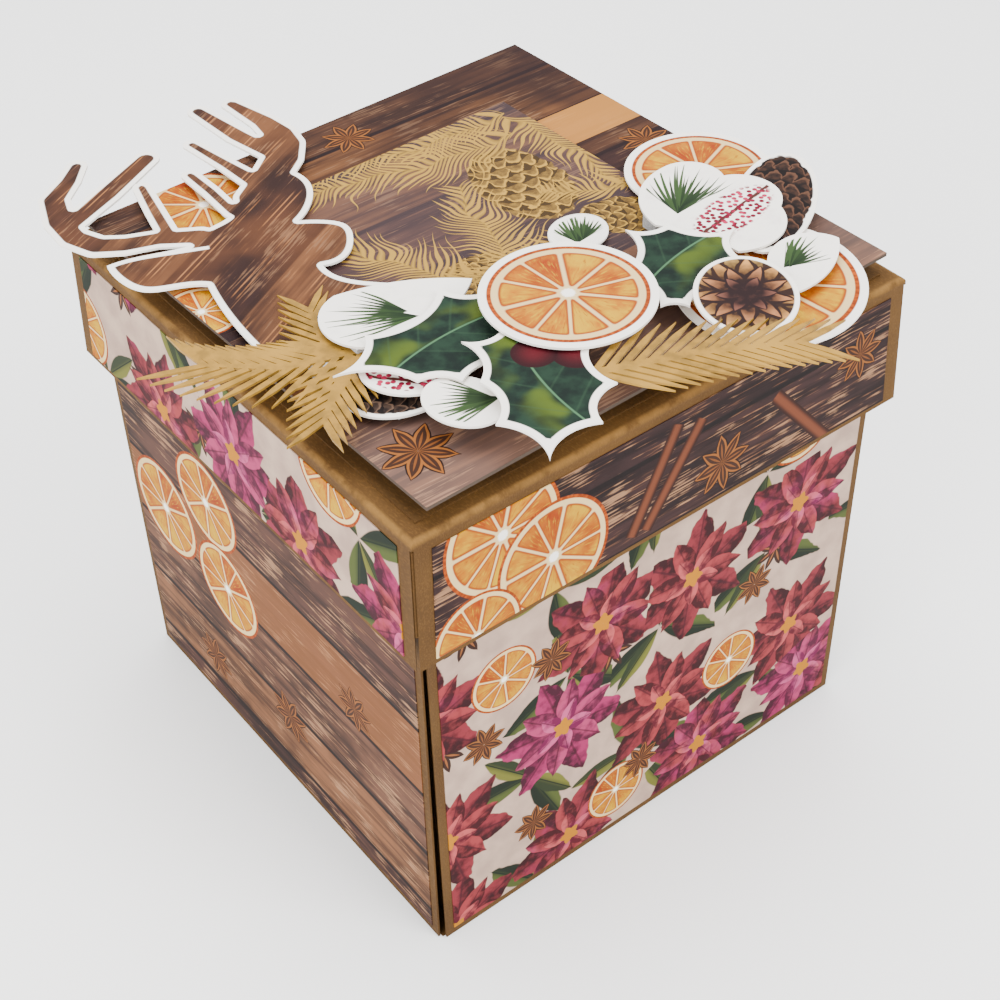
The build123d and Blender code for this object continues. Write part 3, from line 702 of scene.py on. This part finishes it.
# The holly leaves: deep green card with a white border, each with a pale midrib and curved veins.
# Light falls on one half of each leaf as in a painted one, and the front one has two berries on it.
vein_pitch = 0.0078

leaf_print, given, out = new_group(
    "holly_leaf", [("Vector", VECTOR), ("Lit", FLOAT)], [("Colour", COLOUR), ("Height", FLOAT)]
)
tree = leaf_print
axes = axes_of(tree, given["Vector"])
bend = calc(tree, "MULTIPLY_ADD", times(tree, axes[0], axes[0]), 9, axes[1])
off = unsigned(tree, bend)
paint = noise(tree, given["Vector"], 230)
patch = noise(tree, given["Vector"], 120, 1)
green = blend(tree, rise(tree, paint, 0.35, 0.65), ink(20, 44, 36), ink(46, 80, 60))
half = rise(tree, times(tree, bend, given["Lit"]), -0.0005, 0.001)
glow = times(tree, times(tree, half, rise(tree, off, 0.0085, 0.002)), rise(tree, patch, 0.42, 0.6))
green = blend(tree, times(tree, glow, 0.7), green, ink(124, 142, 52))
veins = off_middle(tree, calc(tree, "DIVIDE", minus(tree, axes[0], times(tree, off, 0.9)), vein_pitch))
green = blend(tree, times(tree, rise(tree, veins, 0.06, 0.01), 0.22), green, ink(84, 120, 90))
green = blend(tree, rise(tree, off, 0.00032, 0.00012), green, ink(110, 148, 116))
tree.links.new(green, out["Colour"])
tree.links.new(paint, out["Height"])

# Each leaf's middle, turn, lit side and berries.
leaf_border = 0.0013
leaves = {
    "left_holly_leaf": ((-0.033, -0.0305), 0.12, 1, ()),
    "front_holly_leaf": ((-0.027, -0.054), 1.35, 1, (((-0.0172, -0.0525), 0.0048), ((-0.0232, -0.0478), 0.0044))),
    "right_holly_leaf": ((0.0205, -0.0385), 0.2, -1, ()),
}
for name, (spot, turn, lit, berries) in leaves.items():
    holly, tree, shader, coordinates = new_material(name + "_print", roughness=0.65)
    leaf = use_group(tree, leaf_print, Vector=motif_at(tree, coordinates, spot, -turn), Lit=lit)
    picture = leaf["Colour"]
    for berry, radius in berries:
        away = length_of(tree, motif_at(tree, coordinates, berry))
        ball = blend(tree, rise(tree, away, 0, radius), ink(120, 24, 40), ink(64, 8, 22))
        picture = blend(tree, rise(tree, away, radius, radius - 0.0002), picture, ball)
    finish(tree, shader, with_border(tree, picture, leaf_border), leaf["Height"])
    bordered(name, holly, step=0.0008)


# The orange slices: round cards printed with a cut orange, its peel, pith and nine or ten segments.
# The biggest lies over the holly leaves; the right one leans back under the pine.
def middle_of(name):
    """The middle of a node as seen from above."""
    low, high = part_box(name)
    return (low[0] + high[0]) / 2, (low[1] + high[1]) / 2


slice_border = 0.0015
for name, turn, segments in (("centre_orange_slice", 0.3, 10), ("back_orange_slice", 1.1, 9),
                             ("right_orange_slice", 0.8, 9)):
    low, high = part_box(name)
    radius = (high[0] - low[0]) / 2 - slice_border
    slice_card, tree, shader, coordinates = new_material(name + "_print", roughness=0.62, specular=0.14)
    fruit = use_group(tree, orange_slice, Vector=motif_at(tree, coordinates, middle_of(name), turn),
                      Radius=radius, Segments=segments)
    shown = times(tree, fruit["Inside"], on_face(tree))
    finish(tree, shader, blend(tree, shown, bare_white, fruit["Colour"]), fruit["Height"])
    cover(slice_card, name)

# The pine sprays: white cards with fans of dark green needles, cut with a wide border round them.
# They peep out from under the leaves and slices.
needle_angle, needle_width = 0.15, 0.00056

pine_fan, given, out = new_group(
    "pine_fan", [("Vector", VECTOR), ("Reach", FLOAT), ("Spread", FLOAT)], [("Inside", FLOAT), ("Tone", FLOAT)]
)
tree = pine_fan
axes = axes_of(tree, given["Vector"])
length = length_of(tree, given["Vector"])
around = calc(tree, "ARCTAN2", axes[1], axes[0])
curved = calc(tree, "ADD", around, times(tree, times(tree, length, around), 22))
index = calc(tree, "DIVIDE", curved, needle_angle)
chance = random_of(tree, calc(tree, "FLOOR", index))
reach = times(tree, given["Reach"], calc(tree, "MULTIPLY_ADD", chance, 0.45, 0.6))
reach = times(tree, reach, calc(tree, "COSINE", times(tree, around, 0.7)))
out_share = calc(tree, "DIVIDE", length, reach)
aside = times(tree, off_middle(tree, index), times(tree, length, needle_angle))
slim = times(tree, minus(tree, 1, calc(tree, "POWER", out_share, 2)), needle_width)
inside = rise(tree, minus(tree, slim, aside), -0.00006, 0.00012)
in_fan = rise(tree, unsigned(tree, around), given["Spread"], minus(tree, given["Spread"], 0.05))
inside = times(tree, times(tree, inside, in_fan), calc(tree, "LESS_THAN", out_share, 1))
tree.links.new(inside, out["Inside"])
tree.links.new(calc(tree, "MULTIPLY_ADD", chance, 0.6, times(tree, out_share, 0.4)), out["Tone"])


def lay_pine(tree, picture, coordinates, branches):
    """Prints fans of needles, each from its own twig end, in its own direction."""
    for spot, turn, reach, spread in branches:
        fan = use_group(tree, pine_fan, Vector=motif_at(tree, coordinates, spot, -turn), Reach=reach, Spread=spread)
        green = blend(tree, fan["Tone"], ink(24, 46, 32), ink(98, 128, 76))
        picture = blend(tree, fan["Inside"], picture, green)
    return picture


# Each spray's fans, with a fan's twig end, turn, reach and half angle.
spray_border = 0.0011
fans = {
    "left_pine_spray": (((-0.03, -0.018), 2.4, 0.0185, 0.66), ((-0.0292, -0.0206), 2.62, 0.018, 0.5)),
    "front_pine_spray": (((-0.0338, -0.0494), 2.6, 0.015, 0.75), ((-0.0326, -0.0502), 2.85, 0.014, 0.5)),
    "middle_pine_spray": (((0.0125, -0.0178), 0.95, 0.0135, 0.85), ((0.014, -0.0175), 0.75, 0.0115, 0.6)),
    "right_pine_spray": (((0.0344, -0.0537), 0.15, 0.0145, 0.6), ((0.0353, -0.0544), 0.4, 0.0125, 0.5)),
}
for name, branches in fans.items():
    pine, tree, shader, coordinates = new_material(name + "_print")
    paint = noise(tree, coordinates, 300, 3)
    picture = blend(tree, rise(tree, paint, 0.45, 0.8), bare_white, (0.78, 0.75, 0.68, 1))
    picture = lay_pine(tree, picture, coordinates, branches)
    finish(tree, shader, with_border(tree, picture, spray_border), paint)
    bordered(name, pine)

# The berry sprays: white cards with a twig of pink berries, and on the right one a fan of pine as well.
# The left one is mostly hidden and shows only a strip of berries under the holly leaf.
sprays = {
    "right_berry_spray": ((0.0405, -0.0333), 0.0125, -0.2, (
        ((0.0312, -0.0268), 0.78, 0.0225, 0.72), ((0.033, -0.0255), 0.5, 0.019, 0.6))),
    "left_berry_spray": ((-0.0441, -0.0324), 0.0105, 0.9, ()),
}
for name, (spot, spread, slant, branches) in sprays.items():
    berry_card, tree, shader, coordinates = new_material(name + "_print")
    paint = noise(tree, coordinates, 300, 3)
    picture = blend(tree, rise(tree, paint, 0.45, 0.8), bare_white, (0.78, 0.72, 0.68, 1))
    local = vector_calc(tree, "MULTIPLY", motif_at(tree, coordinates, spot, slant), (1, 2.2, 0))
    away = length_of(tree, local)
    twig = calc(tree, "MULTIPLY_ADD", minus(tree, paint, 0.5), 0.003, axes_of(tree, local)[1])
    twig = times(tree, rise(tree, unsigned(tree, twig), 0.0012, 0.0006), rise(tree, away, spread * 1.1, spread))
    picture = blend(tree, twig, picture, ink(116, 62, 54))
    picture = lay_pine(tree, picture, coordinates, branches)
    inputs = {"Vector": coordinates, "Scale": 720, "Randomness": 0.8}
    dots = place(tree, "ShaderNodeTexVoronoi", inputs, voronoi_dimensions="2D").outputs["Distance"]
    dots = times(tree, rise(tree, dots, 0.42, 0.34), rise(tree, away, spread, spread * 0.85))
    pink = blend(tree, rise(tree, paint, 0.4, 0.6), ink(150, 26, 62), ink(206, 92, 126))
    finish(tree, shader, with_border(tree, blend(tree, dots, picture, pink), spray_border), paint)
    bordered(name, berry_card)

# The fir cones: oval cards printed with brown scales, cut close to the picture.
# The tall one lies over the back slice. The round one stands highest, and shows its scales from below.
cone_border = 0.0009
# Each long cone's turn, length, width, and the inks of its gaps and of its scales' edges.
cones = {
    "tall_fir_cone": (0.646, 0.0362, 0.0155, (44, 28, 26), (128, 92, 72)),
    "left_fir_cone": (-0.175, 0.0205, 0.0158, (50, 36, 34), (140, 116, 100)),
}
for name, (turn, length, width, dark_shade, light_shade) in cones.items():
    cone_card, tree, shader, coordinates = new_material(name + "_print")
    cone = use_group(tree, cone_print, Vector=motif_at(tree, coordinates, middle_of(name), -turn), Length=length,
                     Width=width, Dark=ink(*dark_shade), Light=ink(*light_shade))
    picture = blend(tree, cone["Inside"], bare_white, cone["Colour"])
    finish(tree, shader, with_border(tree, picture, cone_border), cone["Height"])
    bordered(name, cone_card)

# The round cone's rings of scales: reach, how many, breadth, turn, and the inks of their edges and middles.
scale_rings = (
    (0.0165, 15, 0.19, 0.0, (84, 54, 40), (226, 198, 156)), (0.0128, 11, 0.22, 0.4, (72, 46, 38), (218, 186, 144)),
    (0.0095, 9, 0.26, 0.2, (62, 38, 36), (198, 158, 126)), (0.0062, 6, 0.32, 0.7, (58, 34, 36), (150, 106, 92)),
)
rosette, tree, shader, coordinates = new_material("round_fir_cone_print")
seen_from_below = motif_at(tree, coordinates, middle_of("round_fir_cone"), 0.4)
strokes = noise(tree, coordinates, 700)
picture = ink(34, 20, 22)
for reach, count, width, turn, dark_shade, light_shade in scale_rings:
    ring = {"Vector": seen_from_below, "Count": count, "Turn": turn}
    scale = use_group(tree, petals, Reach=reach, Width=width, **ring)
    scale_middle = use_group(tree, petals, Reach=reach * 0.97, Width=width * 0.6, **ring)
    lip = calc(tree, "MULTIPLY_ADD", minus(tree, strokes, 0.5), 0.7, rise(tree, scale["Along"], 0.45, 0.9))
    picture = blend(tree, scale["Inside"], picture, ink(*dark_shade))
    picture = blend(tree, times(tree, scale_middle["Inside"], lip), picture, ink(*light_shade))
finish(tree, shader, with_border(tree, picture, cone_border), strokes)
bordered("round_fir_cone", rosette)

# The table: plain pale paper, with soft studio light from three large square panels.
# It is the stage for the picture and no part of the box.
bpy.ops.mesh.primitive_plane_add(size=30)
table = bpy.context.object
table.name = "studio_floor"
paper_white, tree, shader, coordinates = new_material("studio_floor", roughness=0.9, specular=0.1)
white = blend(tree, noise(tree, coordinates, 3), (0.96, 0.96, 0.955, 1), (0.93, 0.93, 0.925, 1))
finish(tree, shader, white, noise(tree, coordinates, 900), depth=0.00002)
table.data.materials.append(paper_white)

world = bpy.data.worlds.new("studio")
bpy.context.scene.world = world
world.use_nodes = True
world.node_tree.nodes["Background"].inputs["Color"].default_value = (1, 1, 1, 1)
world.node_tree.nodes["Background"].inputs["Strength"].default_value = 1.6

lit_spot = Vector((0, 0, 0.06))
for name, spot, size, power in (("key_light", (0.25, -0.75, 0.85), 0.5, 10),
                                ("fill_light", (-0.8, -0.3, 0.45), 0.6, 10),
                                ("top_light", (0.05, 0.15, 1.0), 0.6, 12)):
    lamp = bpy.data.lights.new(name, "AREA")
    lamp.size = size
    lamp.energy = power
    holder = bpy.data.objects.new(name, lamp)
    bpy.context.scene.collection.objects.link(holder)
    holder.location = spot
    holder.rotation_euler = (lit_spot - Vector(spot)).to_track_quat("-Z", "Y").to_euler()

# The camera, at the photograph's angle.
# Its place and lens come from a pinhole fit to the corners of the lid and the box.
azimuth, height, roll = math.radians(-36.533), math.radians(41.119), math.radians(-1.939)
aim = Vector((0, 0, 0.0621))
distance = 0.41329
back = Vector((math.sin(azimuth) * math.cos(height), -math.cos(azimuth) * math.cos(height), math.sin(height)))
across = Vector((0, 0, 1)).cross(back).normalized()
above = back.cross(across)
lens = bpy.data.cameras.new("camera")
lens.lens = 64.93
lens.sensor_width = 36
lens.shift_x = 0.0164
lens.shift_y = -0.0293
camera = bpy.data.objects.new("camera", lens)
bpy.context.scene.collection.objects.link(camera)
level_right = across * math.cos(roll) + above * math.sin(roll)
level_up = above * math.cos(roll) - across * math.sin(roll)
view_axes = Matrix((level_right, level_up, back)).transposed().to_4x4()
camera.matrix_world = Matrix.Translation(aim + back * distance) @ view_axes
bpy.context.scene.camera = camera
